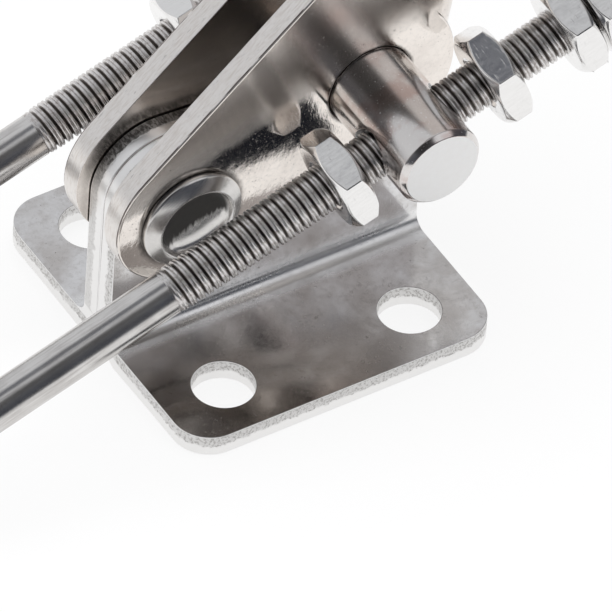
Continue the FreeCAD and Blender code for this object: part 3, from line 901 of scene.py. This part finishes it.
makeFloor()

# a black card beside the clamp, seen only in its mirrored faces
card = {
    "x": (-18 * mm, 19 * mm), "y": (-36 * mm, -24.9 * mm),
    "colour": (0.012, 0.013, 0.017, 1), "roughness": 0.8,
}


def makeCard():
    bm = bmesh.new()
    (front, back), (far, near) = card["x"], card["y"]
    corners = [(front, far, 0), (back, far, 0), (back, near, 0), (front, near, 0)]
    bm.faces.new([bm.verts.new(corner) for corner in corners])
    mesh = bpy.data.meshes.new("card")
    bm.to_mesh(mesh)
    bm.free()
    made = bpy.data.materials.new("blackCard")
    made.use_nodes = True
    shader = made.node_tree.nodes["Principled BSDF"]
    shader.inputs["Base Color"].default_value = card["colour"]
    shader.inputs["Roughness"].default_value = card["roughness"]
    shader.inputs["Specular IOR Level"].default_value = 0.0
    mesh.materials.append(made)
    flag = bpy.data.objects.new("card", mesh)
    bpy.context.collection.objects.link(flag)
    flag.visible_camera = False
    flag.visible_diffuse = False
    flag.visible_shadow = False


makeCard()

# one wide soft box overhead; reflections show the room instead of it
softBox = {"size": 1.6, "height": 1.3, "brightness": 2.3}


def makeLight():
    lamp = bpy.data.lights.new("softBox", "AREA")
    lamp.shape = "SQUARE"
    lamp.size = softBox["size"]
    lamp.energy = softBox["brightness"] * math.pi * softBox["size"] ** 2
    box = bpy.data.objects.new("softBox", lamp)
    bpy.context.collection.objects.link(box)
    box.location = (0, 0, softBox["height"])
    box.visible_glossy = False


makeLight()

room = {
    # the way to the brightest side, behind the object and a little to its left
    "bright": Vector((-0.2, 0.78, 0.58)),
    # cosine of the angle from that way, and the colour there
    "shades": [
        (-0.7, (0.06, 0.065, 0.08, 1)), (-0.25, (0.085, 0.09, 0.105, 1)),
        (0.05, (0.17, 0.17, 0.18, 1)), (0.3, (0.29, 0.285, 0.28, 1)),
        (0.5, (0.51, 0.515, 0.53, 1)), (0.8, (0.73, 0.74, 0.76, 1)),
        (1.0, (0.68, 0.69, 0.71, 1)),
    ],
    # dark and light things in the room: the way to each, the cosines of the angles from that
    # way where it ends and where it is whole, its colour and how far it covers the room
    "things": [
        {
            "way": (-0.4, -0.585, 0.707), "rim": 0.88, "core": 0.97,
            "colour": grey(0.03), "cover": 0.85,
        },
        {
            "way": (0.4, -0.585, 0.706), "rim": 0.9, "core": 0.965,
            "colour": (0.82, 0.82, 0.84, 1), "cover": 0.95,
        },
        {
            "way": (-0.2, -0.25, 0.95), "rim": 0.972, "core": 0.992,
            "colour": (0.66, 0.67, 0.69, 1), "cover": 0.9,
        },
        {
            "way": (-0.19, 0.093, 0.99), "rim": 0.977, "core": 0.987,
            "colour": (0.04, 0.045, 0.065, 1), "cover": 0.92,
        },
    ],
}


def makeRoom():
    world = bpy.data.worlds.new("room")
    world.use_nodes = True
    bpy.context.scene.world = world
    tree = world.node_tree
    start = Wire(tree)
    direction = start.node("ShaderNodeTexCoord", output="Generated")

    def facing(way):
        return start.node(
            "ShaderNodeVectorMath", {0: direction, 1: way.normalized()},
            {"operation": "DOT_PRODUCT"}, output="Value")

    shades = [((cosine + 1) / 2, colour) for cosine, colour in room["shades"]]
    towards = facing(room["bright"]) * 0.5 + 0.5
    light = start.node("ShaderNodeValToRGB", {"Fac": towards}, stops=shades)
    for thing in room["things"]:
        covered = facing(Vector(thing["way"])).step(thing["rim"], thing["core"]) * thing["cover"]
        light = covered.blend(light, thing["colour"])
    tree.links.new(light.socket, tree.nodes["Background"].inputs["Color"])


makeRoom()

photoCamera = {
    "azimuth": -34.193, "elevation": 44.9208, "roll": 3.9089,    # degrees
    "distance": 2.1167, "pixelsPerMetre": 10055.4, "frameWidth": 612,
    "aimRight": 5.675 * mm, "aimUp": -2.047 * mm,    # where the view's middle passes the origin
    "sensor": 36, "clipEnd": 20,
}


def makeCamera():
    view = photoCamera
    azimuth, elevation, roll = (
        math.radians(view[name]) for name in ("azimuth", "elevation", "roll"))
    back = Vector((
        math.sin(azimuth) * math.cos(elevation), -math.cos(azimuth) * math.cos(elevation),
        math.sin(elevation),
    ))
    level = Vector((math.cos(azimuth), math.sin(azimuth), 0))
    upright = back.cross(level)
    right = level * math.cos(roll) + upright * math.sin(roll)
    up = upright * math.cos(roll) - level * math.sin(roll)
    lens = bpy.data.cameras.new("photoCamera")
    lens.sensor_width = view["sensor"]
    lens.lens = view["sensor"] * view["pixelsPerMetre"] * view["distance"] / view["frameWidth"]
    lens.clip_end = view["clipEnd"]
    camera = bpy.data.objects.new("photoCamera", lens)
    bpy.context.collection.objects.link(camera)
    turn = Matrix((right, up, back)).transposed().to_4x4()
    spot = back * view["distance"] + right * view["aimRight"] + up * view["aimUp"]
    camera.matrix_world = Matrix.Translation(spot) @ turn
    bpy.context.scene.camera = camera


makeCamera()
bpy.context.scene.view_settings.view_transform = "Standard"
print("studio made")
